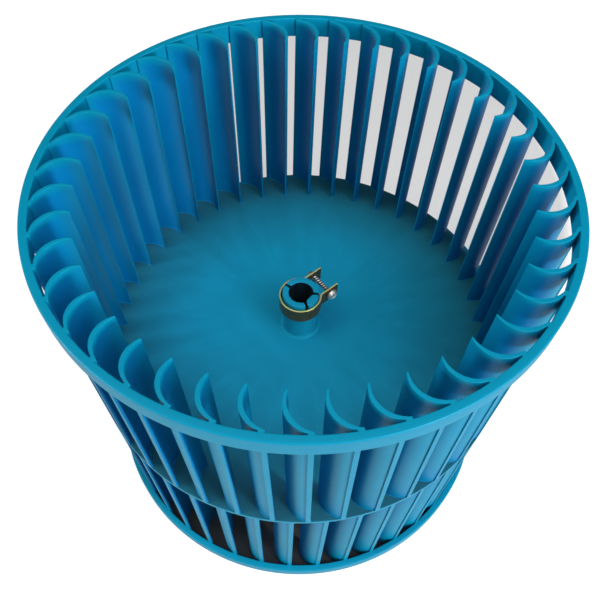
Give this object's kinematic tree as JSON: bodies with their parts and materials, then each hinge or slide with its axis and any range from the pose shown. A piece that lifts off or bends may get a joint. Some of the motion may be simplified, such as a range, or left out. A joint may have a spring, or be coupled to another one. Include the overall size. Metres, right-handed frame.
{
  "type": "centrifugal fan wheel",
  "caption": "Blue moulded centrifugal blower wheel with curved blades between round end rims, a centre disc, and a slotted hub gripped by a bent clamp band and cross-head screw.",
  "frame": {"origin": "centre of the lower rim's lower face, on the shaft axis", "axes": "+Z along the shaft axis, from the lower rim to the rim on the clamped hub's side; X and Y across the wheel"},
  "size_m": [0.23, 0.23, 0.201],
  "materials": {
    "blue_plastic": "semi-gloss, moulded",
    "yellow_zinc": "yellow passivated zinc",
    "zinc": "bright zinc"
  },
  "bodies": {
    "wheel": {"fan_wheel": "blue_plastic", "clamp_band": "yellow_zinc"},
    "screw": {"clamp_screw": "zinc"}
  },
  "joints": [
    {"name": "clamp_screw_turn", "type": "hinge", "parent": "wheel", "child": "screw", "pos_m": [0.01091, 0.00956, 0.12145], "axis": [-0.6561, 0.7547, 0], "range_deg": [-720, 1080]}
  ]
}
